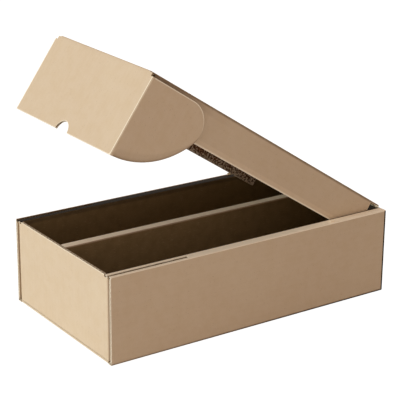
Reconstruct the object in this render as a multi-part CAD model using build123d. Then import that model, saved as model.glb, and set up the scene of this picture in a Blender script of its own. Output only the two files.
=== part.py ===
import os

from build123d import *

# Board. Lengths are in millimetres and angles in degrees.
board = 2.8  # thickness of the corrugated board
fold_radius = 2.2  # outside of a folded edge
fold_play = 0.3  # between sheets that are folded against each other
overrun = 5.0  # how far a cut runs past what it cuts

# Tray, measured over its outside
length = 360.0
width = 201.6
rim_height = 97.4

# Roll-over long walls
ear_play = 0.35  # on each side of an ear in its slot
slot_end_gap = 4.0  # behind the ear, in the slot through the rim
lining_gap = 0.1  # between a dust flap and the inner layer behind it
lining_end_gap = 0.6  # between the inner layer and an end panel
lining_foot_gap = 0.2  # between the inner layer's foot and the base

# Tabs on the inner layers, locked through the base
tab_width = 42.0
tab_taper = 3.0
tab_play = 0.4
tab_recess = 0.3  # from the tab's end down to the underside of the base
tab_place_share = 0.27  # of the length, from the middle to each tab

# Dust flaps of the end panels
dust_flap_length = 78.0
dust_flap_corner = 14.0

# Lid
seat_gap = 0.3  # between the closed lid and what it lies on
lid_sink = 0.3  # how far the closed lid's underside lies below the rims
lid_side_play = 0.4  # between the lid and each rim
mitre_play = 0.25  # opening of a mitred crease on its inner side
side_flap_depth = 41.6
side_flap_hinge_gap = 30.5
side_flap_crease_gap = 13.0  # the same at the crease, from where the edge runs back at a slant
side_flap_slant_depth = 27.0
side_flap_front_gap = 1.6  # behind the left end panel, when the lid is closed
side_flap_taper = 1.2
lid_open_angle = 33.1

# Front flap with its ears
flap_depth = 91.3
flap_play = 0.3  # between the closed flap and the end panel
flap_lean = 2.1  # how far it leans outwards at rest
shoulder_depth = 4.7  # from the lid's outer face down to the ears at the flap
ear_crest_depth = 2.0  # and to the line of their upper edges at the ears' ends
ear_sweep = 99.0  # radius of the ears' long lower edge
ear_sweep_lead = 4.5  # how far in front of the flap that radius has its centre
ear_nose = 26.0
notch_radius = 12.0
notch_depth = 11.0

# Divider insert
divider_width = 10.6
divider_end_gap = 1.2
wing_play = 2.8  # between each wing and the wall, when the insert lies in the middle
insert_shift = 2.2  # how far the loose insert has slid to the far wall
wing_corner = 12.0

# Places that follow from the sizes above
half_length = length / 2
half_width = width / 2
dust_flap_inset = board + board + 2 * ear_play  # outer layer, then the slot for an ear
rim_width = dust_flap_inset + board + lining_gap + board
lining_face = half_width - rim_width
tuck_height = rim_height - board - fold_play
lid_edge = lining_face - lid_side_play
lid_top = rim_height - lid_sink + board
seat_height = rim_height - lid_sink - seat_gap
fold_x = -half_length - flap_play - board
flap_edge = half_width - board - ear_play
neck_edge = flap_edge - fold_radius - board
sweep_x = fold_x - ear_sweep_lead
sweep_z = lid_top - flap_depth + (ear_sweep ** 2 - ear_sweep_lead ** 2) ** 0.5
crest_z = lid_top - ear_crest_depth
crest_x = sweep_x + (ear_sweep ** 2 - (crest_z - sweep_z) ** 2) ** 0.5


def block(x_span, y_span, z_span):
    """A solid between two corners, given as a span along each axis."""
    spans = [sorted(span) for span in (x_span, y_span, z_span)]
    middle = [(low + high) / 2 for low, high in spans]
    return Pos(*middle) * Box(*[high - low for low, high in spans])


def carried_along_x(points, x_span):
    """An outline of y and z points, carried from one x to another."""
    low, high = sorted(x_span)
    outline = make_face(Polyline(*[(low, y, z) for y, z in points], close=True))
    return extrude(outline, amount=high - low, dir=(1, 0, 0))


def carried_along_y(points, y_span):
    """An outline of x and z points, carried from one y to another."""
    low, high = sorted(y_span)
    outline = make_face(Polyline(*[(x, low, z) for x, z in points], close=True))
    return extrude(outline, amount=high - low, dir=(0, 1, 0))


def other_side(shape):
    """The same shape on the other long side."""
    return mirror(shape, about=Plane.XZ)


def edges_at(shape, direction, **place):
    """Straight edges that run along an axis and have their middle at the given coordinates."""
    return [
        edge for edge in shape.edges().filter_by(direction)
        if all(abs(getattr(edge.center(), name) - value) < board / 8 for name, value in place.items())
    ]


def edges_along_z(shape, x, y):
    """Upright edges that stand at one place."""
    return edges_at(shape, Axis.Z, X=x, Y=y)


# Tray
def rolled_channel():
    """Base, outer layers, rims and inner layers as one folded section along the box."""
    foot = board + lining_foot_gap
    under_rim = rim_height - board
    half = [
        (half_width, 0), (half_width, rim_height), (lining_face, rim_height), (lining_face, foot),
        (lining_face + board, foot), (lining_face + board, under_rim), (half_width - board, under_rim),
        (half_width - board, board),
    ]
    channel = carried_along_x(half + [(-y, z) for y, z in reversed(half)], (-half_length, half_length))
    folds = []
    for side in (-1, 1):
        for y, z in ((half_width, 0), (half_width, rim_height), (lining_face, rim_height)):
            folds += edges_at(channel, Axis.X, Y=side * y, Z=z)
    return fillet(folds, fold_radius)


def end_panel(end, inset):
    """The end panel of one end, -1 or 1, with its two dust flaps folded in along the walls."""
    outer = end * half_length
    edge = half_width - inset
    foot = board + fold_play
    tip = outer - end * dust_flap_length
    cut_back = tip + end * dust_flap_corner
    panel = block((outer, outer - end * board), (-edge, edge), (0, tuck_height))
    dust_flap = carried_along_y(
        [(outer, foot), (cut_back, foot), (tip, foot + dust_flap_corner),
         (tip, tuck_height - dust_flap_corner), (cut_back, tuck_height), (outer, tuck_height)],
        (edge - board, edge),
    )
    folded = panel + dust_flap + other_side(dust_flap)
    folded = fillet(edges_at(folded, Axis.Y, X=outer, Z=0), fold_radius)
    upright = edges_along_z(folded, outer, -edge) + edges_along_z(folded, outer, edge)
    return fillet(upright, fold_radius)


def lining_tab(x):
    """A tapered tab below the inner layer of the far wall."""
    root, tip = tab_width / 2, tab_width / 2 - tab_taper
    top = board + lining_foot_gap + tab_play
    points = [(x - root, top), (x - tip, tab_recess), (x + tip, tab_recess), (x + root, top)]
    return carried_along_y(points, (lining_face, lining_face + board))


def tab_slot(x):
    """The slot in the base that the tab locks through."""
    reach = tab_width / 2 + tab_play
    across = (lining_face - tab_play, lining_face + board + tab_play)
    return block((x - reach, x + reach), across, (-overrun, board))


def tray():
    channel = rolled_channel()
    inner_end = half_length - board - lining_end_gap
    for end, inset in ((-1, dust_flap_inset), (1, board + fold_play)):
        outer = end * half_length
        edge = half_width - inset
        # The inner layers stop short of the end panels, and the base turns up into them.
        lining = block((outer, end * inner_end), (lining_face, lining_face + board), (board, rim_height - board))
        base_end = block((outer, outer - end * board), (-edge, edge), (0, board))
        channel -= lining + other_side(lining) + base_end
    ear_end = crest_x + slot_end_gap
    slot = block((-half_length - overrun, ear_end), (half_width - dust_flap_inset, half_width - board),
                 (board, rim_height + overrun))
    channel -= slot + other_side(slot)
    # The rims' corners beside the slots are rounded, to clear the inside of the ears' bends.
    beside_slots = [
        edge for side in (-1, 1)
        for edge in edges_at(channel, Axis.Z, X=-half_length, Y=side * (half_width - dust_flap_inset),
                             Z=rim_height - board / 2)
    ]
    channel = fillet(beside_slots, fold_radius)
    tab_places = [-length * tab_place_share, length * tab_place_share]
    for x in tab_places:
        channel -= tab_slot(x) + other_side(tab_slot(x))
    for x in tab_places:
        channel += lining_tab(x) + other_side(lining_tab(x))
    left = end_panel(-1, dust_flap_inset)
    left += block((-half_length, -half_length + board), (-lid_edge, lid_edge), (tuck_height, seat_height))
    right = end_panel(1, board + fold_play)
    # The right end panel runs up to the lid's crease, where it is mitred.
    crown = [
        (half_length, tuck_height), (half_length, lid_top),
        (half_length - board, lid_top - board - mitre_play), (half_length - board, tuck_height),
    ]
    right += carried_along_y(crown, (-lid_edge, lid_edge))
    return channel + left + right


# Lid and front flap, modelled closed and then opened
def lid_closed():
    """The lid's panel, mitred at both creases, with its side flaps folded down."""
    inner = lid_top - board
    hinge_mitre = half_length - board - mitre_play
    front_mitre = fold_x + board + mitre_play
    panel = carried_along_y(
        [(half_length, lid_top), (hinge_mitre, inner), (front_mitre, inner), (fold_x, lid_top)],
        (-lid_edge, lid_edge),
    )
    back = half_length - side_flap_hinge_gap
    front = board - half_length + side_flap_front_gap
    foot = lid_top - side_flap_depth
    points = [
        (half_length - side_flap_crease_gap, lid_top), (back, lid_top - side_flap_slant_depth), (back, foot),
        (front + side_flap_taper, foot), (front, lid_top),
    ]
    side_flap = carried_along_y(points, (lid_edge - board, lid_edge))
    folded = panel + side_flap + other_side(side_flap)
    folds = [e for y in (-lid_edge, lid_edge) for e in folded.edges().filter_by(Axis.X)
             if abs(e.center().Y - y) + abs(e.center().Z - lid_top) < board / 8]
    return fillet(folds, fold_radius)


def ear_outline():
    """The side outline of an ear: a straight upper edge, a rounded nose and one long sweep below."""
    foot = lid_top - flap_depth
    shoulder = lid_top - shoulder_depth
    lower = (foot + crest_z) / 2
    middle_x = sweep_x + (ear_sweep ** 2 - (lower - sweep_z) ** 2) ** 0.5
    outline = [
        Line((fold_x, -half_width, shoulder), (crest_x, -half_width, crest_z)),
        ThreePointArc((crest_x, -half_width, crest_z), (middle_x, -half_width, lower), (fold_x, -half_width, foot)),
        Line((fold_x, -half_width, foot), (fold_x, -half_width, shoulder)),
    ]
    prism = extrude(make_face(outline), amount=width, dir=(0, 1, 0))
    return fillet(edges_at(prism, Axis.Y, X=crest_x, Z=crest_z), ear_nose)


def front_flap_closed():
    """The front flap with its ears bent round the tray's corners, its neck and its thumb notch."""
    inner = fold_x + board
    foot = lid_top - flap_depth
    ear_inside = flap_edge - board
    sheet = block((fold_x, crest_x), (-flap_edge, flap_edge), (foot, crest_z))
    sheet -= block((inner, crest_x + overrun), (-ear_inside, ear_inside), (foot - overrun, crest_z + overrun))
    for side in (-1, 1):
        sheet = fillet(edges_along_z(sheet, fold_x, side * flap_edge), fold_radius + board)
        sheet = fillet(edges_along_z(sheet, inner, side * ear_inside), fold_radius)
    shoulder = lid_top - shoulder_depth
    neck = carried_along_y(
        [(fold_x, lid_top), (inner, lid_top - board - mitre_play), (inner, shoulder), (fold_x, shoulder)],
        (-neck_edge, neck_edge),
    )
    notch = Pos(fold_x, 0, foot - notch_radius + notch_depth) * Rot(0, 90, 0) * Cylinder(
        notch_radius, 2 * (board + overrun))
    return (sheet & ear_outline()) + neck - notch


def opened(shape, angle, pivot_x):
    """Turns a shape about the crease that runs across the box at the lid's top."""
    crease = Axis((pivot_x, 0, lid_top), (0, 1, 0))
    return shape.rotate(crease, angle)


# Divider insert
def divider_insert():
    """An inverted U along the box, with a wing on each side lying on the base."""
    wall = divider_width / 2
    wing_end = lining_face - wing_play
    half = [
        (wall, seat_height), (wall, 2 * board), (wing_end, 2 * board), (wing_end, board),
        (wall - board, board), (wall - board, seat_height - board),
    ]
    reach = half_length - board - divider_end_gap
    folded = carried_along_x(half + [(-y, z) for y, z in reversed(half)], (-reach, reach))
    ridge = [edge for y in (-wall, wall) for edge in edges_at(folded, Axis.X, Y=y, Z=seat_height)]
    folded = fillet(ridge, fold_radius)
    corners = [edge for x in (-reach, reach) for y in (-wing_end, wing_end) for edge in edges_along_z(folded, x, y)]
    return Pos(0, insert_shift, 0) * chamfer(corners, wing_corner)


flap = opened(front_flap_closed(), flap_lean, fold_x)
nodes = {
    "tray": tray(),
    "divider_insert": divider_insert(),
    "lid": opened(lid_closed(), lid_open_angle, half_length),
    "front_flap": opened(flap, lid_open_angle, half_length),
}

os.makedirs("parts", exist_ok=True)
for name, shape in nodes.items():
    export_step(shape, f"parts/{name}.step")
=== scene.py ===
import math

import bpy
import numpy as np
from mathutils import Matrix, Vector


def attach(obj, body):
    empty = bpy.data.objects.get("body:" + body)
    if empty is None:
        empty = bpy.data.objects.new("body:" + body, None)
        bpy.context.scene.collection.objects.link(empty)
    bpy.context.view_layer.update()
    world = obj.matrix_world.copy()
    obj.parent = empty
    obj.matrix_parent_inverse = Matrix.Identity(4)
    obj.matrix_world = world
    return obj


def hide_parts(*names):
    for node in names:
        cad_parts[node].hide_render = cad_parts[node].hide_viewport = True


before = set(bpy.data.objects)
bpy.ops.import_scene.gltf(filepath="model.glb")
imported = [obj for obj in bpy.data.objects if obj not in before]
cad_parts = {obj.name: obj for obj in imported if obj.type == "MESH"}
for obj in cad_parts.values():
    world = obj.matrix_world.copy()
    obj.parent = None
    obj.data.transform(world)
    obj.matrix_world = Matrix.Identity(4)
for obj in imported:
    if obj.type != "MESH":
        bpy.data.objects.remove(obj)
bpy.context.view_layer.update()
mm = 0.001  # the sheets are worked out in millimetres
hair = 0.1  # how close a grid point is to a line that it lies on, in millimetres
clear = 99.0  # further than any cut corner reaches, in millimetres

camera = {
    "eye": (-0.86477, -1.25364, 0.65426),
    "right": (0.82606, -0.56353, 0.00835),
    "down": (-0.18182, -0.28049, -0.94248),
    "ahead": (0.53345, 0.77702, -0.33417),
    "lens": 131.4, "sensor": 36, "near": 0.05, "far": 40,
}


# The camera stands at eye and looks ahead; right and down are the picture's own directions.
def makeCamera(c):
    data = bpy.data.cameras.new("view")
    data.sensor_width, data.lens = c["sensor"], c["lens"]
    data.clip_start, data.clip_end = c["near"], c["far"]
    made = bpy.data.objects.new("view", data)
    axes = Matrix((c["right"], [-v for v in c["down"]], [-v for v in c["ahead"]])).transposed()
    made.matrix_world = Matrix.Translation(c["eye"]) @ axes.to_4x4()
    bpy.context.scene.collection.objects.link(made)
    bpy.context.scene.camera = made
    bpy.context.scene.view_settings.view_transform = "Standard"


makeCamera(camera)
print("camera placed")


# A number socket whose operators add Math nodes.
class Num:
    def __init__(self, nodes, socket):
        self.nodes, self.socket = nodes, socket

    def maths(self, kind, a, b=None):
        values = {0: a} if b is None else {0: a, 1: b}
        return self.nodes.node("Math", {"operation": kind}, values).out(0)

    def __add__(self, other):
        return self.maths("ADD", self, other)

    def __radd__(self, other):
        return self.maths("ADD", other, self)

    def __sub__(self, other):
        return self.maths("SUBTRACT", self, other)

    def __rsub__(self, other):
        return self.maths("SUBTRACT", other, self)

    def __mul__(self, other):
        return self.maths("MULTIPLY", self, other)

    def __rmul__(self, other):
        return self.maths("MULTIPLY", other, self)

    def sin(self):
        return self.maths("SINE", self)

    def atMost(self, other):
        return self.maths("MINIMUM", self, other)

    def step(self, low, high):  # 0 below low, 1 above high, smooth between
        settings = {"interpolation_type": "SMOOTHSTEP"}
        return self.nodes.node("MapRange", settings, {0: self, 1: low, 2: high}).out(0)


class Made:
    def __init__(self, nodes, node):
        self.nodes, self.node = nodes, node

    def out(self, name):
        return Num(self.nodes, self.node.outputs[name])


# Any node tree: a node takes its type, its settings, and the values or links of its sockets.
class Nodes:
    def __init__(self, tree):
        self.tree = tree

    def link(self, value, socket):
        if isinstance(value, Num):
            self.tree.links.new(value.socket, socket)
        else:
            socket.default_value = value

    def node(self, kind, settings, sockets):
        made = self.tree.nodes.new("ShaderNode" + kind)
        for key, value in settings.items():
            setattr(made, key, value)
        for key, value in sockets.items():
            self.link(value, made.inputs[key])
        return Made(self, made)

    def blend(self, factor, a, b, way="MIX"):
        settings = {"data_type": "RGBA", "blend_type": way}
        return self.node("Mix", settings, {0: factor, 6: a, 7: b}).out(2)


class Finish(Nodes):
    def __init__(self, name):
        self.material = bpy.data.materials.new(name)
        self.material.use_nodes = True
        super().__init__(self.material.node_tree)
        self.shader = next(n for n in self.tree.nodes if n.type == "BSDF_PRINCIPLED")

    def set(self, values):
        for key, value in values.items():
            self.link(value, self.shader.inputs[key])


# A colour written as on screen, turned to light:
# ((c + 0.055) / 1.055) ** 2.4, or c / 12.92 near black.
def tone(code):
    parts = [int(code[i:i + 2], 16) / 255 for i in (0, 2, 4)]
    light = [c / 12.92 if c <= 0.04045 else ((c + 0.055) / 1.055) ** 2.4 for c in parts]
    return tuple(light) + (1.0,)


paper = {
    "face": tone("DDC8AC"), "faceWarm": tone("D6BE9B"), "faceLight": tone("E4D2B6"),
    "insert": tone("CEB295"), "insertWarm": tone("C4A686"), "insertLight": tone("DAC4A8"),
    # dark: the inside's painted shade; brown: painted shade with speckles, inside the lid's side
    # flaps
    "dark": tone("8B734D"), "darkWarm": tone("765F3B"), "darkLight": tone("AB9470"),
    "brown": tone("B98059"), "brownDeep": tone("6A4831"), "brownLight": tone("F6E4D2"),
    "flute": tone("D0B78F"), "fluteDark": tone("B99C74"), "cut": tone("E9DAC0"),
    "fleck": tone("8C6E4E"), "fibre": tone("F1E4CF"), "scuff": tone("FFF1D8"),
    # crease and deep: colours of painted shade along creases, edges and under parts
    "crease": tone("6E5236"), "deep": tone("241A10"),
    "roughness": 0.8, "rougher": 0.15, "specular": 0.25, "bump": 0.3, "relief": 0.0004,
    "fluteGrain": 900, "fluteRoughness": 0.85, "fluteRougher": 0.1,
    "pitch": 0.0064, "ribs": 0.012,  # one flute in metres, and how much its rib darkens the face
    "flecks": 520, "fleckStretch": (1, 0.55), "fleckTint": 0.3,
    "patchy": 0.4, "scuffAndHighlightTint": 0.78, "shadeTint": 0.45, "speckleMottle": 0.3, "speckleWearAndLight": 0.22,
}
grain = {  # each noise's grains in a metre, detail, roughness, and stretch in U and V
    "cloud": (11, 3, 0.5, None), "mottle": (85, 4, 0.6, None), "pulp": (3200, 3, 0.7, (1, 0.6)),
    "fibre": (1500, 2, 0.5, (0.2, 1)), "thread": (1100, 2, 0.5, (1, 0.16)),
    "grit": (430, 2, 0.7, None),
}
heights = {"rib": 0.06, "pulp": 0.2, "mottle": 0.3, "fibre": 0.12}
ramps = {  # where a mask starts and ends
    "fleckEdge": (0.06, 0.24), "fleckChosen": (0.76, 0.84), "scuff": (0.55, 1.0),
    # crease and deep ramp up painted shade; isBrown and isDark bring in the inside's painted shade
    "crease": (0.3, 1.0), "deep": (1.1, 1.6), "grit": (0.42, 0.58), "speckle": (0.72, 0.84),
    "isBrown": (0.2, 0.4), "isDark": (0.6, 0.8), "flute": (0.35, 0.7),
}
layers = {  # each layer's start and end on its mask, and its strength
    "warm": (0.36, 0.68, 0.36), "cloud": (0.42, 0.75, 0.28), "fibre": (0.6, 0.72, 0.14),
    # dimmed is faint painted shade; the dark layers vary the inside's painted shade, and
    # darkScuffAndHighlight lightens it where worn and where highlight is painted; cut lightens cut
    # edges the same way
    "thread": (0.62, 0.75, 0.07), "pulp": (0.3, 0.7, 0.3), "dimmed": (0.0, 0.3, 0.11),
    "darkWarm": (0.35, 0.7, 0.5), "darkPulp": (0.52, 0.74, 0.4),
    "darkThread": (0.58, 0.72, 0.5), "darkScuffAndHighlight": (0.7, 1.0, 0.75),
    "darkCrease": (0.3, 1.0, 0.97), "cut": (0.3, 0.9, 0.8),
}


# A layer's share of the colour: none where its mask starts, its strength where the mask ends.
def layer(mask, name):
    start, end, strength = layers[name]
    return mask.step(start, end) * strength


# Corrugated board's paper. The sheet's own UV map runs across the flutes in U and along them in V.
# The attribute shade is 0 for the tan face, 0.5 for speckled brown painted shade and 1 for the
# dark painted shade of the inside; wear is above 0 where the board is scuffed or cut and where a
# highlight is painted, and below 0 where shade is painted.
def kraftFinish(name, face, faceWarm, faceLight):
    f = Finish(name)
    p = paper
    place = f.node("UVMap", {"uv_map": "sheet"}, {}).out(0)
    across = f.node("SeparateXYZ", {}, {0: place}).out(0)
    shade = f.node("Attribute", {"attribute_name": "shade"}, {}).out("Fac")
    wear = f.node("Attribute", {"attribute_name": "wear"}, {}).out("Fac")

    def stretched(x, y):
        return f.node("VectorMath", {"operation": "MULTIPLY"}, {0: place, 1: (x, y, 1)}).out(0)

    def noise(name):
        scale, detail, rough, stretch = grain[name]
        vector = stretched(*stretch) if stretch else place
        sockets = {"Vector": vector, "Scale": scale, "Detail": detail, "Roughness": rough}
        return f.node("TexNoise", {}, sockets).out(0)

    cloud, mottle, pulp = noise("cloud"), noise("mottle"), noise("pulp")
    fibre, thread, grit = noise("fibre"), noise("thread"), noise("grit")
    vector = stretched(*p["fleckStretch"])
    sockets = {"Vector": vector, "Scale": p["flecks"], "Randomness": 1.0}
    cells = f.node("TexVoronoi", {"feature": "F1"}, sockets)
    chosen = f.node("SeparateColor", {}, {0: cells.out("Color")}).out(0)
    between = cells.out("Distance").step(*ramps["fleckEdge"])
    fleck = (1 - between) * chosen.step(*ramps["fleckChosen"])
    rib = (across * (2 * math.pi / p["pitch"])).sin()
    paintedShade = 0 - wear

    light = f.blend(layer(mottle, "warm"), face, faceWarm)
    light = f.blend(layer(cloud, "cloud"), light, faceLight)
    light = f.blend(fleck * p["fleckTint"], light, p["fleck"])
    light = f.blend(layer(fibre, "fibre"), light, p["fibre"])
    light = f.blend(layer(thread, "thread"), light, p["fleck"])
    light = f.blend(layer(pulp, "pulp"), light, p["fleck"], "SOFT_LIGHT")
    light = f.blend((rib * 0.5 + 0.5) * p["ribs"], light, p["fleck"], "MULTIPLY")
    # Lighter where scuffed and cut, and painted highlight on the rims, folds and top edges
    scuffAndHighlightMix = wear.step(*ramps["scuff"]) * (mottle * p["patchy"] + p["scuffAndHighlightTint"])
    light = f.blend(scuffAndHighlightMix, light, p["scuff"])
    # Painted shade where wear is below 0: faint, then crease colour, then deep
    light = f.blend(layer(paintedShade, "dimmed"), light, p["crease"])
    creaseShading = paintedShade.step(*ramps["crease"]) * (mottle * p["patchy"] + p["shadeTint"])
    light = f.blend(creaseShading, light, p["crease"])
    light = f.blend(paintedShade.step(*ramps["deep"]), light, p["deep"])

    # The inside's dark painted shade, lighter where worn and where highlight is painted, deeper
    # where more shade is painted
    dark = f.blend(layer(mottle, "darkWarm"), p["dark"], p["darkWarm"])
    dark = f.blend(layer(pulp, "darkPulp"), dark, p["darkLight"])
    dark = f.blend(layer(thread, "darkThread"), dark, p["darkLight"])
    dark = f.blend(layer(wear, "darkScuffAndHighlight"), dark, face)
    dark = f.blend(layer(paintedShade, "darkCrease"), dark, p["deep"])

    # The speckled brown painted shade inside the lid's side flaps, lighter where light is painted
    brown = f.blend(grit.step(*ramps["grit"]), p["brownDeep"], p["brown"])
    speckle = grit + mottle * p["speckleMottle"] + wear * p["speckleWearAndLight"]
    brown = f.blend(speckle.step(*ramps["speckle"]), brown, p["brownLight"])
    colour = f.blend(shade.step(*ramps["isBrown"]), light, brown)
    colour = f.blend(shade.step(*ramps["isDark"]), colour, dark)

    h = heights
    height = rib * h["rib"] + pulp * h["pulp"] + mottle * h["mottle"] + fibre * h["fibre"]
    sockets = {"Strength": p["bump"], "Distance": p["relief"], "Height": height}
    bump = f.node("Bump", {}, sockets).out(0)
    f.set({"Base Color": colour, "Roughness": p["roughness"] + pulp * p["rougher"],
           "Normal": bump, "Specular IOR Level": p["specular"]})
    return f.material


# The fluted paper between the faces, seen at the cut edges.
def fluteFinish(name):
    f = Finish(name)
    p = paper
    place = f.node("UVMap", {"uv_map": "sheet"}, {}).out(0)
    sockets = {"Vector": place, "Scale": p["fluteGrain"], "Detail": 3.0}
    pulp = f.node("TexNoise", {}, sockets).out(0)
    wear = f.node("Attribute", {"attribute_name": "wear"}, {}).out("Fac")
    colour = f.blend(pulp.step(*ramps["flute"]), p["flute"], p["fluteDark"])
    # Lighter at cut edges: worn paper and painted highlight
    colour = f.blend(layer(wear, "cut"), colour, p["cut"])
    sockets = {"Strength": p["bump"], "Distance": p["relief"] / 2, "Height": pulp}
    bump = f.node("Bump", {}, sockets).out(0)
    roughness = p["fluteRoughness"] + pulp * p["fluteRougher"]
    f.set({"Base Color": colour, "Roughness": roughness, "Normal": bump})
    return f.material


kraft = kraftFinish("kraft_paper", paper["face"], paper["faceWarm"], paper["faceLight"])
insertKraft = kraftFinish("insert_paper", paper["insert"], paper["insertWarm"],
                          paper["insertLight"])
flutePaper = fluteFinish("flute_paper")
print("papers mixed")

sheetStock = {
    "thick": 2.8, "liner": 0.56, "medium": 0.46, "pitch": 6.4,
    "tight": 0.3,  # the smallest bend radius
    "edge": 2.4, "edgeShare": 0.2,  # the strip along a cut edge that shows wear
    "lead": 0.4, "bendParts": 8, "faceGap": 6.0, "waveParts": 10, "foldReach": 1.4,
    "crushed": 0.5,  # how much lower a flute is at a fold
    "sharp": 38,  # degrees from which an edge is shaded as one
}
# Values of wear: 1 for scuffed and cut edges and for painted highlight; below 0 for painted shade,
# from faint at -0.3 to deepest at -1.6.
wornAndLit, dimmed, paintedShade, shadowed = 1.0, -0.3, -1.0, -1.6  # values of wear
# Values of shade: the tan face, the speckled brown painted shade, the dark painted shade
tanFace, speckledShadeFace, shadedFace = 0.0, 0.5, 1.0  # values of shade


# A sheet's section, folded at each inner corner, read at any depth o below its outer face.
# On a run: corner + u * way - o * normal. On a fold of turn q: centre +- r * n(a), where
# n(a) = (sin(q - a) * n1 + sin(a) * n2) / sin(q), with r = radius - o on a fold's outside
# and radius + o on its inside.
def foldedPath(corners, radii, side, gap, marks=None):
    stock = sheetStock
    corners = np.array(corners, float)
    steps = np.diff(corners, axis=0)
    lengths = np.linalg.norm(steps, axis=1)
    ways = steps / lengths[:, None]
    normals = side * np.stack([-ways[:, 1], ways[:, 0]], 1)
    pairs = list(zip(ways[:-1], ways[1:]))
    turns = [math.acos(float(np.clip(a @ b, -1, 1))) for a, b in pairs]
    bulge = [-np.sign(side * (a[0] * b[1] - a[1] * b[0])) for a, b in pairs]
    radii = [np.atleast_1d(np.array(r, float)) for r in radii]
    least = stock["thick"] + stock["tight"]
    reaches = [0] + [max(float(r.max()), least) + stock["lead"] for r in radii] + [0]
    run, fold, along, turned = [], [], [], []
    for k, length in enumerate(lengths):
        start, stop = reaches[k], length - reaches[k + 1]
        u = np.linspace(start, stop, max(1, round((stop - start) / gap)) + 1)
        u = np.union1d(np.round(u, 4), (marks or {}).get(k, []))
        parts = np.linspace(0, 1, stock["bendParts"] + 1 if k < len(radii) else 0)
        run.append(np.full(len(u) + len(parts), k))
        fold.append(np.concatenate([np.full(len(u), -1), np.full(len(parts), k)]))
        along.append(np.concatenate([u, parts * 0]))
        turned.append(np.concatenate([u * 0, parts]))
    run, fold, along, turned = (np.concatenate(v) for v in (run, fold, along, turned))

    def at(depth):
        depth = np.asarray(depth, float)
        columns = max([depth.shape[1] if depth.ndim > 1 else 1] + [len(r) for r in radii])
        depth = np.broadcast_to(depth, (len(run), columns))
        points = corners[run][:, None] + along[:, None, None] * ways[run][:, None]
        points = points - depth[..., None] * normals[run][:, None]
        for k, (q, out, radius) in enumerate(zip(turns, bulge, radii)):
            here = fold == k
            o = depth[here]
            r = np.maximum(radius[None] - out * o, stock["tight"])
            n1, n2 = normals[k], normals[k + 1]
            centre = corners[k + 1] - (o + out * r)[..., None] * (n1 + n2) / (1 + n1 @ n2)
            a = turned[here][:, None, None] * q
            turning = (np.sin(q - a) * n1 + np.sin(a) * n2) / math.sin(q)
            points[here] = centre + out * r[..., None] * turning
        return points

    outer = at(0.0)[:, 0]
    s = np.concatenate([[0], np.cumsum(np.linalg.norm(np.diff(outer, axis=0), axis=1))])
    near = np.zeros(len(s))
    for k in range(len(radii)):
        span = s[fold == k]
        away = np.maximum(np.abs(s - span.mean()) - np.ptp(span) / 2, 0)
        near = np.maximum(near, np.exp(-(away / stock["foldReach"]) ** 2))
    return {"at": at, "s": s, "near": near, "run": run, "u": along, "fold": fold,
            "turn": turned}


# A thin closed layer between two grids: the front cells, the back cells turned over, and a wall
# wherever a kept cell ends. The corners are in the order that faces outwards.
def slab(front, back, uv, wear, shade, keep, paperIndex):
    rows, columns = front.shape[:2]
    index = np.arange(rows * columns).reshape(rows, columns)
    a, b, c, d = index[:-1, :-1], index[1:, :-1], index[1:, 1:], index[:-1, 1:]
    other = rows * columns
    padded = np.pad(keep, 1)
    faces = [np.stack([v[keep] for v in (a, b, c, d)], 1),
             np.stack([v[keep] + other for v in (d, c, b, a)], 1)]
    neighbours = ((padded[1:-1, :-2], a, b), (padded[2:, 1:-1], b, c),
                  (padded[1:-1, 2:], c, d), (padded[:-2, 1:-1], d, a))
    for beside, first, second in neighbours:
        ends = keep & ~beside
        p, q = first[ends], second[ends]
        faces.append(np.stack([q, p, p + other, q + other], 1))
    faces = np.concatenate(faces)
    outwards = np.cross(front[1:, :-1] - front[:-1, :-1], front[:-1, 1:] - front[:-1, :-1])
    if (outwards * (front - back)[:-1, :-1])[keep].sum() < 0:
        faces = faces[:, ::-1]
    used, inverse = np.unique(faces, return_inverse=True)

    def twice(values):
        return np.concatenate([values.reshape(rows * columns, -1)] * 2)[used]

    return {
        "points": np.concatenate([front.reshape(-1, 3), back.reshape(-1, 3)])[used],
        "faces": inverse.reshape(faces.shape), "uv": twice(uv), "wear": twice(wear)[:, 0],
        "shade": twice(shade)[:, 0], "paper": paperIndex,
    }


# Rows from low to high, with one close to each end: low + (high - low) * v.
def rowsBetween(low, high, count):
    edge = np.minimum(sheetStock["edge"], sheetStock["edgeShare"] * (high - low))
    span, start = (high - low - 2 * edge)[:, None], (low + edge)[:, None]
    inner = np.linspace(0, 1, count)[None] * span + start
    return np.concatenate([low[:, None], inner, high[:, None]], 1)


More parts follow.
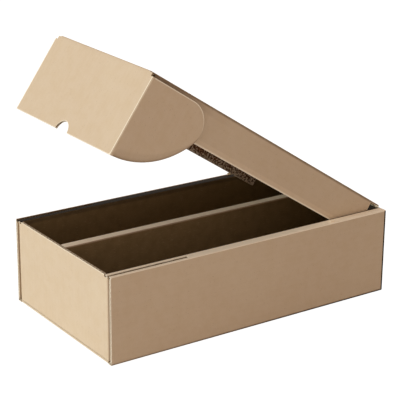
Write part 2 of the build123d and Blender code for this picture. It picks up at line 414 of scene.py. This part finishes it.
# The two faces and the flutes of one sheet, on a grid of the path's points and the rows along the
# flutes. The flutes lie at depth = thick / 2 + height * sin(2 pi s / pitch), flatter near a fold.
# cut says which ends of the grid are cut edges: both, path for those at the path's ends, or none.
def corrugated(makePath, rows, space, keep=None, shade=tanFace, backShade=shadedFace, wear=None,
               backWearAndShading=None, cut="both"):
    stock = sheetStock
    thick, liner, medium = stock["thick"], stock["liner"], stock["medium"]
    height = thick / 2 - liner - medium / 2
    gaps = {"face": stock["faceGap"], "back": stock["faceGap"],
            "flutes": stock["pitch"] / stock["waveParts"]}
    middleDepths = {"face": 0.0, "back": thick, "flutes": thick / 2}
    # Each layer's painted shade: the face's, the back's, and none on the flutes
    paintedShades = {"face": shade, "back": backShade, "flutes": tanFace}
    made = []
    for kind, gap in gaps.items():
        path = makePath(gap)
        s, near = path["s"], path["near"]
        t = rows(path, middleDepths[kind])
        swing = height * np.sin(2 * np.pi * s / stock["pitch"])
        swing = swing * (1 - stock["crushed"] * near)
        wave = np.broadcast_to(thick / 2 + swing[:, None], t.shape)
        depths = {"face": (0.0, liner), "back": (thick, thick - liner),
                  "flutes": (wave - medium / 2, wave + medium / 2)}[kind]
        front, back = (space(np.broadcast_to(path["at"](o), t.shape + (2,)), t, o)
                       for o in depths)
        flat = np.broadcast_to(path["at"](0.0), t.shape + (2,))
        middle = (flat[1:, 1:] + flat[:-1, :-1]) / 2
        tMiddle = (t[1:, 1:] + t[:-1, :-1] + t[1:, :-1] + t[:-1, 1:]) / 4
        kept = np.ones(tMiddle.shape, bool) if keep is None else keep(path, middle, tMiddle)
        wornAndShaded = np.repeat(near[:, None], t.shape[1], 1)
        if cut != "none":
            wornAndShaded[[0, -1]] = wornAndLit
        if cut == "both":
            wornAndShaded[:, [0, -1]] = wornAndLit
        own = {"face": wear, "back": backWearAndShading, "flutes": None}[kind]
        wornAndShaded = own(path, flat, t, wornAndShaded) if own else wornAndShaded
        paintedShadeOf = paintedShades[kind]
        dark = np.broadcast_to(paintedShadeOf(path, flat, t) if callable(paintedShadeOf) else paintedShadeOf, t.shape)
        uv = np.stack([np.repeat(s[:, None], t.shape[1], 1), t], -1) * mm
        paperIndex = 1 if kind == "flutes" else 0
        made.append(slab(front * mm, back * mm, uv, wornAndShaded, dark, kept, paperIndex))
    return made


# One mesh from all layers of a sheet, with its UV map and its two attributes.
def makePiece(name, slabs, papers, body, node):
    start = np.cumsum([0] + [len(s["points"]) for s in slabs])
    points = np.concatenate([s["points"] for s in slabs])
    faces = np.concatenate([s["faces"] + n for s, n in zip(slabs, start)])
    mesh = bpy.data.meshes.new(name)
    mesh.from_pydata(points.tolist(), [], faces.tolist())
    for each in papers:
        mesh.materials.append(each)
    indices = np.repeat([s["paper"] for s in slabs], [len(s["faces"]) for s in slabs])
    mesh.polygons.foreach_set("material_index", indices)
    mesh.polygons.foreach_set("use_smooth", np.ones(len(faces), bool))
    corner = np.zeros(len(mesh.loops), np.int32)
    mesh.loops.foreach_get("vertex_index", corner)
    uv = np.concatenate([s["uv"] for s in slabs])[corner]
    mesh.uv_layers.new(name="sheet").data.foreach_set("uv", uv.astype(np.float32).ravel())
    for key in ("wear", "shade"):
        values = np.concatenate([s[key] for s in slabs]).astype(np.float32)
        mesh.attributes.new(key, "FLOAT", "POINT").data.foreach_set("value", values)
    mesh.set_sharp_from_angle(angle=math.radians(sheetStock["sharp"]))
    mesh.validate()
    made = bpy.data.objects.new(name, mesh)
    bpy.context.scene.collection.objects.link(made)
    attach(made, body)
    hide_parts(node)
    print(name, "folded,", len(faces), "faces")


tray = {
    "length": 360.0, "width": 201.6, "rim": 97.4, "foot": 3.0, "fold": 1.7, "crease": 0.9,
    "wallFace": 88.8,  # the linings' inner faces, from the middle
    "slotIn": 94.5, "slotOut": 98.0, "slotEnd": -85.07,  # the ears' slots in the rims
    "liningEnd": 176.6, "turnUp": 174.0, "rearInset": 97.7,
    "panelFoot": 3.1, "tuck": 94.3, "seat": 96.8, "lidTop": 99.9, "lidEdge": 88.4,
    "dustFlap": 78.0, "dustCorner": 14.0, "turnGap": 0.6,
    "tabPlace": 97.2, "tabRoot": 21.0, "tabTip": 18.0, "tabLow": 0.3, "tabHigh": 3.2,
    "holeIn": 88.4, "holeOut": 92.0, "holeGap": 0.4,
    "panelRows": 4,
    # Where painted shade and painted highlight change: strips from an edge, fading where there
    # are two values.
    "cutEdge": 1.3, "darkEdge": (1.7, 2.2), "darkCrease": (1.6, 2.3), "plainWall": (1.1, 1.9),
    "darkFoot": (1.3, 3.0), "darkRim": 4.0, "rimTop": 0.6, "baseTop": 1.0, "wallEnd": 2.0,
    "liningCut": 0.5, "liningFace": 0.3, "footLead": 0.25, "softShade": 0.6,
}


# The tray's long sheet: a path across the box, up a lining, over its rim, down the outer wall,
# under the base and so to the other lining, with rows at set places along the box. The end
# panels, their bends and the linings' tabs are sheets of their own.
def trayPieces(b):
    half, wide, rim, inner = b["length"] / 2, b["width"] / 2, b["rim"], b["wallFace"]
    corners = [(-inner, b["foot"]), (-inner, rim), (-wide, rim), (-wide, 0),
               (wide, 0), (wide, rim), (inner, rim), (inner, b["foot"])]
    places = [b["slotIn"], b["slotOut"], b["rearInset"], b["holeIn"], b["holeOut"]]
    marks = {
        1: list(b["darkCrease"]) + [b["slotIn"] - inner, b["slotOut"] - inner],
        2: list(b["plainWall"]) + [rim - v for v in b["darkFoot"]],
        3: [wide + side * v for v in places for side in (-1, 1)],
        4: list(b["darkFoot"]) + [rim - v for v in b["plainWall"]],
        5: [wide - b["slotOut"], wide - b["slotIn"]],
    }
    hole = b["tabRoot"] + b["holeGap"]
    tabSpan = [b["tabPlace"] - hole, b["tabPlace"] + hole]
    lines = [-half, -half + b["cutEdge"], -b["liningEnd"], -b["turnUp"], b["slotEnd"], 0,
             b["turnUp"], b["liningEnd"], half - b["cutEdge"], half]
    lines += [half - v for v in b["darkEdge"]] + tabSpan + [-v for v in tabSpan]
    lines = np.array(sorted(lines))

    def keep(path, middle, x):
        y, z = np.abs(middle[..., 0]), middle[..., 1]
        base, top = z < b["crease"], z > rim - hair
        lining = (y < inner + b["liningCut"]) & (z > b["baseTop"])
        gone = lining & (np.abs(x) > b["liningEnd"])
        gone |= base & (y < b["slotIn"]) & (x < -b["turnUp"])
        gone |= base & (y < b["rearInset"]) & (x > b["turnUp"])
        gone |= top & (y > b["slotIn"]) & (y < b["slotOut"]) & (x < b["slotEnd"])
        atTab = np.abs(np.abs(x) - b["tabPlace"]) < hole
        gone |= base & (y > b["holeIn"]) & (y < b["holeOut"]) & atTab
        return ~gone

    def isLining(flat):
        return np.abs(flat[..., 0]) < inner + b["liningFace"]

    # The far rim's top and lining are painted with the inside's dark shade
    def farRim(flat):  # painted dark, like the inside
        y, z = flat[..., 0], flat[..., 1]
        return (y > 0) & (y < wide - b["crease"] - hair) & (z > rim - b["darkRim"])

    # The linings and the far rim painted as dark shade
    def shade(path, flat, x):
        return (isLining(flat) & (flat[..., 1] > b["baseTop"]) | farRim(flat)).astype(float)

    # The base's inner face painted as dark shade
    def baseShade(path, flat, x):
        return (flat[..., 1] < b["baseTop"]).astype(float)

    # Painted shade: the outer walls darker towards the hinge, along their foot and at the hinge
    # end's edge, along the rims' inner creases and over the far rim; a painted highlight on the
    # rims' tops
    def wear(path, flat, x, wornAndShaded):
        y, z = np.abs(flat[..., 0]), flat[..., 1]
        along = x / b["length"] + 0.5  # 0 at the left end panel, 1 at the hinge
        plain = (z < rim - b["plainWall"][0] + hair) & (z > b["darkFoot"][1] - hair)
        plain &= (y > wide - hair) & (np.abs(x) < half - b["wallEnd"])
        wornAndShaded = np.where(plain, dimmed * along, wornAndShaded)
        foot = (y > wide - b["crease"] - hair) & (z < b["darkFoot"][0] + hair)
        wornAndShaded = np.where(foot, shadowed * np.clip(along + b["footLead"], 0, 1), wornAndShaded)
        top = (z > rim - b["rimTop"]) & ~isLining(flat)
        inCrease = y < inner + b["darkCrease"][0] + hair
        wornAndShaded = np.where(top, np.where(inCrease, shadowed, wornAndLit), wornAndShaded)
        dark = np.where(isLining(flat), paintedShade * b["softShade"], paintedShade)
        wornAndShaded = np.where(farRim(flat), dark, wornAndShaded)
        atEnd = x > half - b["darkEdge"][0] - hair / 2
        return np.where(atEnd & (y > wide - hair), shadowed, wornAndShaded)

    def alongBox(p, t, depth):
        return np.stack([t, p[..., 0], p[..., 1]], -1)

    radii = [b["crease"]] * 2 + [b["fold"]] * 2 + [b["crease"]] * 2
    slabs = corrugated(
        lambda gap: foldedPath(corners, radii, -1, gap, marks),
        lambda path, depth: np.repeat(lines[None], len(path["s"]), 0),
        alongBox, keep, shade, baseShade, wear)
    for end, inset, crown in ((-1, b["slotIn"], b["seat"]), (1, b["rearInset"], b["lidTop"])):
        slabs += endPanel(b, end, inset, crown) + turnedUp(b, end, inset)
    for x in (-b["tabPlace"], b["tabPlace"]):
        for side in (-1, 1):
            slabs += tab(b, x, side, alongBox)
    return slabs


# An end panel and its two dust flaps: a path round three sides of the box, with rows up its height.
def endPanel(b, end, inset, crown):
    out, tip = end * b["length"] / 2, end * (b["length"] / 2 - b["dustFlap"])
    turned = [(tip, end * inset), (out, end * inset), (out, -end * inset), (tip, -end * inset)]
    marks = {1: [inset - b["lidEdge"], inset + b["lidEdge"]]}

    def rows(path, depth):
        fromTip = np.where(path["run"] == 2, b["dustFlap"] - path["u"], clear)
        fromTip = np.where(path["run"] == 0, path["u"], fromTip)
        fromTip = np.where(path["fold"] >= 0, clear, fromTip)
        corner = np.maximum(b["dustCorner"] - fromTip, 0)
        top = crown - (sheetStock["thick"] if end > 0 and depth > 0 else 0)
        panel = rowsBetween(b["panelFoot"] + corner, b["tuck"] - corner, b["panelRows"])
        return np.concatenate([panel, np.full((len(panel), 1), top)], 1)

    def keep(path, middle, z):
        return (z < b["tuck"]) | (np.abs(middle[..., 1]) < b["lidEdge"])

    # The panel's top edge lighter: wear and painted highlight
    def wear(path, flat, z, wornAndShaded):
        atCrown = np.arange(z.shape[1]) == z.shape[1] - 1
        return np.broadcast_to(np.where(atCrown, wornAndLit, 0.0), z.shape)

    # Painted shade inside the rear panel
    def backWearAndShading(path, flat, z, wornAndShaded):
        return np.where(end > 0, paintedShade, wornAndShaded)

    return corrugated(
        lambda gap: foldedPath(turned, [b["fold"]] * 2, 1, gap, marks), rows,
        lambda p, t, depth: np.concatenate([p, t[..., None]], -1), keep,
        wear=wear, backWearAndShading=backWearAndShading)


# The strip where the base turns up into an end panel: the path crosses the box, and the rows
# go round the bend.
def turnedUp(b, end, inset):
    out, thick = end * b["length"] / 2, sheetStock["thick"]
    corners = [(end * b["turnUp"], 0), (out, 0), (out, b["panelFoot"])]
    bend = foldedPath(corners, [b["fold"]], -end, sheetStock["faceGap"])
    reach = inset - b["turnGap"]

    def straight(gap):
        y = np.linspace(-reach, reach, round(2 * reach / gap) + 1)
        return {"s": y + reach, "near": y * 0,
                "at": lambda depth: np.stack([y, y * 0], -1)[:, None]}

    def space(p, t, depth):
        outer, inner = (bend["at"](v)[None, :, 0] for v in (0.0, thick))
        section = outer + (inner - outer) * np.broadcast_to(depth, t.shape)[..., None] / thick
        return np.stack([section[..., 0], p[..., 0], section[..., 1]], -1)

    return corrugated(
        straight, lambda path, depth: np.repeat(bend["s"][None], len(path["s"]), 0), space,
        cut="none")


# A lining's tab through the base: half width = tip + (root - tip) * height.
def tab(b, x, side, alongBox):
    def path(gap):
        face = side * b["wallFace"]
        return foldedPath([(face, b["tabLow"]), (face, b["tabHigh"])], [], side, gap)

    def rows(path, depth):
        half = b["tabTip"] + (b["tabRoot"] - b["tabTip"]) * path["s"] / path["s"][-1]
        return x + np.stack([-half, half], 1)

    return corrugated(path, rows, alongBox)


makePiece("tray_board", trayPieces(tray), (kraft, flutePaper), "base", "tray")

insert = {
    "wall": 5.3, "top": 96.8, "wing": 86.0, "face": 5.6, "half": 176.0, "corner": 12.0,
    "shift": 2.2, "fold": 1.2,
    "foot": 0.4,  # the folds between the wings and the divider's walls
    # The cap is a painted highlight on the divider's top
    "cap": 0.3,  # the light strip on the divider's top
    "rows": 6,
}


# The divider: a wing, a wall, the top, a wall and a wing, with rows along the box.
def insertPieces(b):
    wall, wing, width = b["wall"], b["wing"], b["wing"] - b["wall"]
    corners = [(-wing, b["face"]), (-wall, b["face"]), (-wall, b["top"]),
               (wall, b["top"]), (wall, b["face"]), (wing, b["face"])]
    radii = [b["foot"], b["fold"], b["fold"], b["foot"]]
    marks = {0: [b["corner"]], 4: [width - b["corner"]]}

    def rows(path, depth):
        fromEdge = np.where(path["run"] == 4, width - path["u"], clear)
        fromEdge = np.where(path["run"] == 0, path["u"], fromEdge)
        fromEdge = np.where(path["fold"] >= 0, clear, fromEdge)
        reach = b["half"] - np.maximum(b["corner"] - fromEdge, 0)
        return rowsBetween(-reach, reach, b["rows"])

    # The divider's walls painted as dark shade, and its top a painted highlight
    def shade(path, flat, x):
        return (flat[..., 1] < b["top"] - b["cap"]).astype(float)

    def wear(path, flat, x, wornAndShaded):
        return np.where(flat[..., 1] > b["top"] - b["cap"], wornAndLit, wornAndShaded)

    def space(p, t, depth):
        return np.stack([t, p[..., 0] + b["shift"], p[..., 1]], -1)

    return corrugated(lambda gap: foldedPath(corners, radii, 1, gap, marks), rows, space,
                      shade=shade, wear=wear)


makePiece("insert_board_sheet", insertPieces(insert), (insertKraft, flutePaper), "base",
          "divider_insert")

lid = {
    "edge": 88.4, "top": 99.9, "hinge": 180.0, "front": -183.1, "fold": 1.1, "mitre": 0.25,
    "flapDepth": 41.6, "flapFront": -175.6, "taper": 1.2, "open": 33.1, "round": 1.2,
    # The side flaps' ends at the hinge: square, and then at a slant.
    "creaseBack": 13.0, "flapBack": 30.5, "square": 12.0, "slant": 27.0,
    "cutEdge": 1.3, "bay": 60.0,
    # Painted shade and light on the side flaps, from their front ends to the hinge.
    "underEar": (-150.0, 8.0), "flapTop": 0.2, "dimStart": 0.4, "insideShading": (-0.5, 0.6),
    "leastWearAndLight": 0.1, "leastFold": 0.05,
}


# Turned about the crease at x, z: x' = x + dx cos a + dz sin a, z' = z - dx sin a + dz cos a.
def opened(points, angle, x, z):
    a = math.radians(angle)
    dx, dz = points[..., 0] - x, points[..., 2] - z
    turnedX = x + dx * math.cos(a) + dz * math.sin(a)
    turnedZ = z - dx * math.sin(a) + dz * math.cos(a)
    return np.stack([turnedX, points[..., 1], turnedZ], -1)


# The lid and its side flaps, worked out closed and then opened: a path over the box, with rows
# along it.
def lidPieces(b):
    top, edge, deep = b["top"], b["edge"], b["flapDepth"]
    foot, thick = top - deep, sheetStock["thick"]
    corners = [(-edge, foot), (-edge, top), (edge, top), (edge, foot)]
    marks = {0: [deep - b["slant"], deep - b["square"]], 2: [b["square"], b["slant"]]}

    def rows(path, depth):
        down = np.where(path["run"] == 2, path["u"], 0.0)
        down = np.where(path["run"] == 0, deep - path["u"], down)
        down = np.where(path["fold"] >= 0, 0.0, down)
        front = b["flapFront"] + b["taper"] * down / deep
        part = np.clip((down - b["square"]) / (b["slant"] - b["square"]), 0, 1)
        back = b["hinge"] - b["creaseBack"] - (b["flapBack"] - b["creaseBack"]) * part
        cutBack = max(depth, thick - sheetStock["liner"]) if depth > 0 else 0
        skew = cutBack * (1 + b["mitre"] / thick)
        lines = [b["front"] + b["round"] * (depth == 0) + skew, front, front + b["cutEdge"],
                 -b["bay"], b["bay"], back - b["cutEdge"], back, b["hinge"] - skew]
        return np.stack([np.broadcast_to(v, down.shape) for v in lines], 1)

    def keep(path, middle, x):
        column, low = np.arange(x.shape[1])[None], middle[..., 1] < top - b["fold"]
        return ~(low & ((column == 0) | (column == x.shape[1] - 1)))

    def isSide(path):
        return ((path["run"] != 1) & (path["fold"] < 0))[:, None]

    # Inside, the side flaps are painted speckled brown shade, and the lid as dark painted shade
    # as in the tray.
    def backShade(path, flat, x):
        return np.broadcast_to(np.where(isSide(path), speckledShadeFace, shadedFace), x.shape)

    def sideEnds(path, x):
        column = np.arange(x.shape[1])[None]
        return isSide(path) & ((column == 1) | (column == x.shape[1] - 2))

    def along(x):  # 0 at a side flap's front end, 1 at its end by the hinge
        return np.clip((x - b["flapFront"]) / (b["hinge"] - b["flapBack"] - b["flapFront"]), 0, 1)

    # Painted shade on the side flaps: darker towards the hinge, along the folds and under the ears;
    # the ends lighter, worn and painted highlight
    def wear(path, flat, x, wornAndShaded):
        near = np.repeat(path["near"][:, None], x.shape[1], 1)
        down = top - flat[..., 1]
        onFlap, earX, earDown = down > b["flapTop"], *b["underEar"]
        dim = dimmed * (b["dimStart"] + (1 - b["dimStart"]) * along(x))
        wornAndShaded = np.where(onFlap & (wornAndShaded < b["leastWearAndLight"]), dim, wornAndShaded)
        wornAndShaded = np.where(sideEnds(path, x), wornAndLit, wornAndShaded)
        wornAndShaded = np.where(near > b["leastFold"], np.minimum(wornAndShaded, -near), wornAndShaded)
        return np.where((x < earX) & onFlap & (down < earDown), paintedShade, wornAndShaded)

    # Painted light inside the side flaps, lighter towards the hinge, and light ends
    def backWearAndShading(path, flat, x, wornAndShaded):  # lighter towards the hinge
        low, high = b["insideShading"]
        ends = sideEnds(path, x) | (wornAndShaded >= wornAndLit)
        inside = np.where(ends, wornAndLit, low + (high - low) * along(x))
        return np.where(isSide(path), inside, 0.0)

    def space(p, t, depth):
        return opened(np.stack([t, p[..., 0], p[..., 1]], -1), b["open"], b["hinge"], top)

    return corrugated(
        lambda gap: foldedPath(corners, [b["fold"]] * 2, 1, gap, marks), rows, space, keep,
        tanFace, backShade, wear, backWearAndShading, "path")


makePiece("lid_board", lidPieces(lid), (kraft, flutePaper), "lid", "lid")

frontFlap = {
    "edge": 97.65, "depth": 91.3, "shoulder": 4.7, "crest": 2.0, "crestX": -89.066, "lean": 2.1,
    "sweep": 99.0, "lead": 4.5, "nose": 26.0,  # the ears' outline
    "notch": 12.0, "notchDepth": 11.0, "neck": 88.4, "corner": 92.6,
    "bendTop": 1.7, "bendFoot": 1.5,
    "rows": 9, "easing": 40, "tipGap": 8.0, "notchParts": 24, "chordHair": 1e-6,
    # How painted highlight and painted shade fall on the folds and the ears' edges, as shares of
    # full highlight and full shade.
    "lightFold": 0.2, "foldShade": 0.5, "earTop": 1.3, "earShade": 0.5, "earFoot": 0.9,
}


# Upper and lower edge of an ear at each x, as depths below the lid: a straight line, a nose of
# z = zc +- sqrt(r^2 - (x - xc)^2), and a sweep of z = zs - sqrt(R^2 - (x - xs)^2).
def earOutline(b, x):
    top, fold, nose, sweep = lid["top"], lid["front"], b["nose"], b["sweep"]
    sweepX = fold - b["lead"]
    sweepZ = top - b["depth"] + math.sqrt(sweep ** 2 - b["lead"] ** 2)
    z1, z2 = top - b["shoulder"], top - b["crest"]
    slope = (z2 - z1) / (b["crestX"] - fold)
    square = math.sqrt(1 + slope ** 2)
    # The nose's centre is its radius below the line, and sweep - nose from the sweep's centre.
    g = z1 - nose * square - sweepZ - slope * (fold - sweepX)
    qa, qb, qc = 1 + slope ** 2, 2 * slope * g, g ** 2 - (sweep - nose) ** 2
    dx = (-qb + math.sqrt(qb ** 2 - 4 * qa * qc)) / (2 * qa)
    noseX, noseZ = sweepX + dx, sweepZ + g + slope * dx
    tip = noseX + nose
    x = np.minimum(x, tip)
    onNose = np.sqrt(np.maximum(nose ** 2 - (x - noseX) ** 2, 0))
    upper = np.where(x < noseX - nose * slope / square, z1 + slope * (x - fold), noseZ + onNose)
    arc = sweepZ - np.sqrt(sweep ** 2 - (x - sweepX) ** 2)
    lower = np.where(x < sweepX + dx * sweep / (sweep - nose), arc, noseZ - onNose)
    return top - upper, top - lower, tip


# The front flap and its ears: a path round the front, with rows down the flap. Above the shoulders
# the neck goes over the crease to the lid, where t from -1 to 0 is a quarter turn.
def flapPieces(b):
    fold, top = lid["front"], lid["top"]
    tip = earOutline(b, np.array([0.0]))[2]
    corners = [(tip, -b["edge"]), (fold, -b["edge"]), (fold, b["edge"]), (tip, b["edge"])]
    neckColumns = (-1.0, -0.67, -0.33, 0.0)
    bendColumns = np.linspace(b["bendTop"], b["bendFoot"], b["rows"])
    bend = np.concatenate([[b["bendTop"]] * (len(neckColumns) + 1), bendColumns, [b["bendFoot"]]])
    ease = (tip - fold) * (1 - np.cos(np.linspace(0, np.pi / 2, b["easing"])))
    ease = ease[ease < tip - fold - b["tipGap"]]
    chord = math.sqrt(b["notch"] ** 2 - (b["notch"] - b["notchDepth"]) ** 2)
    arch = chord * np.sin(np.linspace(-np.pi / 2, np.pi / 2, b["notchParts"] + 1))
    shoulders = [b["edge"] + side * v for side in (-1, 1) for v in (b["neck"], b["corner"])]
    marks = {0: ease, 1: np.concatenate([b["edge"] + arch, shoulders]), 2: tip - fold - ease}

    def rows(path, depth):
        flat = path["at"](0.0)[:, 0]
        x, y = flat[:, 0], np.abs(flat[:, 1])
        upper, lower, _ = earOutline(b, np.where(path["run"] == 1, fold, x))
        onFront = (path["run"] == 1) | (path["fold"] >= 0)
        upper = np.where(onFront, b["shoulder"], upper)
        lower = np.where(onFront, b["depth"], lower)
        inNotch = (path["run"] == 1) & (path["fold"] < 0) & (y < chord + b["chordHair"])
        arc = np.sqrt(np.maximum(b["notch"] ** 2 - y ** 2, 0))
        lower = np.where(inNotch, b["depth"] + b["notch"] - b["notchDepth"] - arc, lower)
        neck = np.repeat(np.array([neckColumns]), len(x), 0)
        return np.concatenate([neck, rowsBetween(upper, lower, b["rows"])], 1)

    def keep(path, middle, t):
        column, y = np.arange(t.shape[1])[None], np.abs(middle[..., 1])
        last = len(neckColumns) - 1
        return (column > last) | (y < b["neck"]) | ((column == last) & (y < b["corner"]))

    def space(p, t, depth):
        r = lid["round"]
        turn = np.where(t <= 0, -t * np.pi / 2, 0)
        o = np.broadcast_to(depth, t.shape)
        inward = np.maximum(r - o, 0)
        z = np.where(t <= 0, top - np.maximum(r, o) + inward * np.sin(turn), top - t)
        x = np.where(t <= 0, p[..., 0] + inward * (1 - np.cos(turn)), p[..., 0])
        z = np.where((t <= 0) & (o > r), top - o - lid["mitre"], z)
        leaning = opened(np.stack([x, p[..., 1], z], -1), b["lean"], fold, top)
        return opened(leaning, lid["open"], lid["hinge"], top)

    # A painted highlight before each ear's fold and painted shade over the bend; the ear's upper
    # edge a painted highlight and its lower one painted shade.
    def wear(path, flat, t, wornAndShaded):
        bent = (path["fold"] >= 0)[:, None]
        side = np.where(path["fold"] == 0, 1 - path["turn"], path["turn"])[:, None]
        shaded = (1 - side) * paintedShade * b["foldShade"]
        wornAndShaded = np.where(bent, np.where(side < b["lightFold"], wornAndLit, shaded), wornAndShaded)
        onEar = ((path["run"] != 1) & (path["fold"] < 0))[:, None]
        column, last = np.arange(t.shape[1])[None], t.shape[1] - 1
        wornAndShaded = np.where(onEar & (column == len(neckColumns)), wornAndLit * b["earTop"], wornAndShaded)
        wornAndShaded = np.where(onEar & (column == last - 1), paintedShade * b["earShade"], wornAndShaded)
        return np.where(onEar & (column == last), paintedShade * b["earFoot"], wornAndShaded)

    return corrugated(
        lambda gap: foldedPath(corners, [bend] * 2, 1, gap, marks), rows, space, keep,
        wear=wear)


makePiece("front_flap_board", flapPieces(frontFlap), (kraft, flutePaper), "flap", "front_flap")

studio = {
    "floor": -0.0003, "reach": 9.0, "grey": 0.8, "roughness": 0.9,
    "lift": 0.8, "glow": 1.25,  # how far, and how brightly, the camera sees the floor as white
    "key": 1.95, "keyTint": (0.805, 0.94, 1.0), "keyFrom": (-0.98, 0.17, 0.13), "soft": 16,
    "sky": (0.565, 0.476, 0.426),
}


# A floor and a room that the camera sees as white, with a tinted sky and one lamp for the box.
def makeStudio(s):
    def seen(nodes):  # 1 for the camera's own rays, and for glossy and transmitted ones
        rays = nodes.node("LightPath", {}, {})
        mirrored = rays.out("Is Camera Ray") + rays.out("Is Glossy Ray")
        return (mirrored + rays.out("Is Transmission Ray")).atMost(1.0)

    r, z = s["reach"], s["floor"]
    mesh = bpy.data.meshes.new("floor")
    mesh.from_pydata([(-r, -r, z), (r, -r, z), (r, r, z), (-r, r, z)], [], [(0, 1, 2, 3)])
    floor = bpy.data.objects.new("floor", mesh)
    bpy.context.scene.collection.objects.link(floor)
    f = Finish("floor_paper")
    f.set({"Base Color": (s["grey"],) * 3 + (1,), "Roughness": s["roughness"]})
    glow = f.node("Emission", {}, {"Color": (1, 1, 1, 1), "Strength": s["glow"]}).out(0)
    plain = Num(f, f.shader.outputs[0])
    mixed = f.node("MixShader", {}, {0: seen(f) * s["lift"], 1: plain, 2: glow}).out(0)
    ending = next(n for n in f.tree.nodes if n.type == "OUTPUT_MATERIAL")
    f.link(mixed, ending.inputs[0])
    mesh.materials.append(f.material)

    light = bpy.data.lights.new("key", "SUN")
    light.energy, light.angle, light.color = s["key"], math.radians(s["soft"]), s["keyTint"]
    lamp = bpy.data.objects.new("key", light)
    lamp.rotation_euler = Vector(s["keyFrom"]).to_track_quat("Z", "Y").to_euler()
    bpy.context.scene.collection.objects.link(lamp)

    world = bpy.data.worlds.new("room")
    bpy.context.scene.world = world
    world.use_nodes = True
    world.node_tree.nodes.clear()
    room = Nodes(world.node_tree)
    sky = room.node("Background", {}, {0: s["sky"] + (1,)}).out(0)
    white = room.node("Background", {}, {0: (1, 1, 1, 1)}).out(0)
    mixed = room.node("MixShader", {}, {0: seen(room), 1: sky, 2: white}).out(0)
    room.node("OutputWorld", {}, {0: mixed})


makeStudio(studio)
print("studio lit")
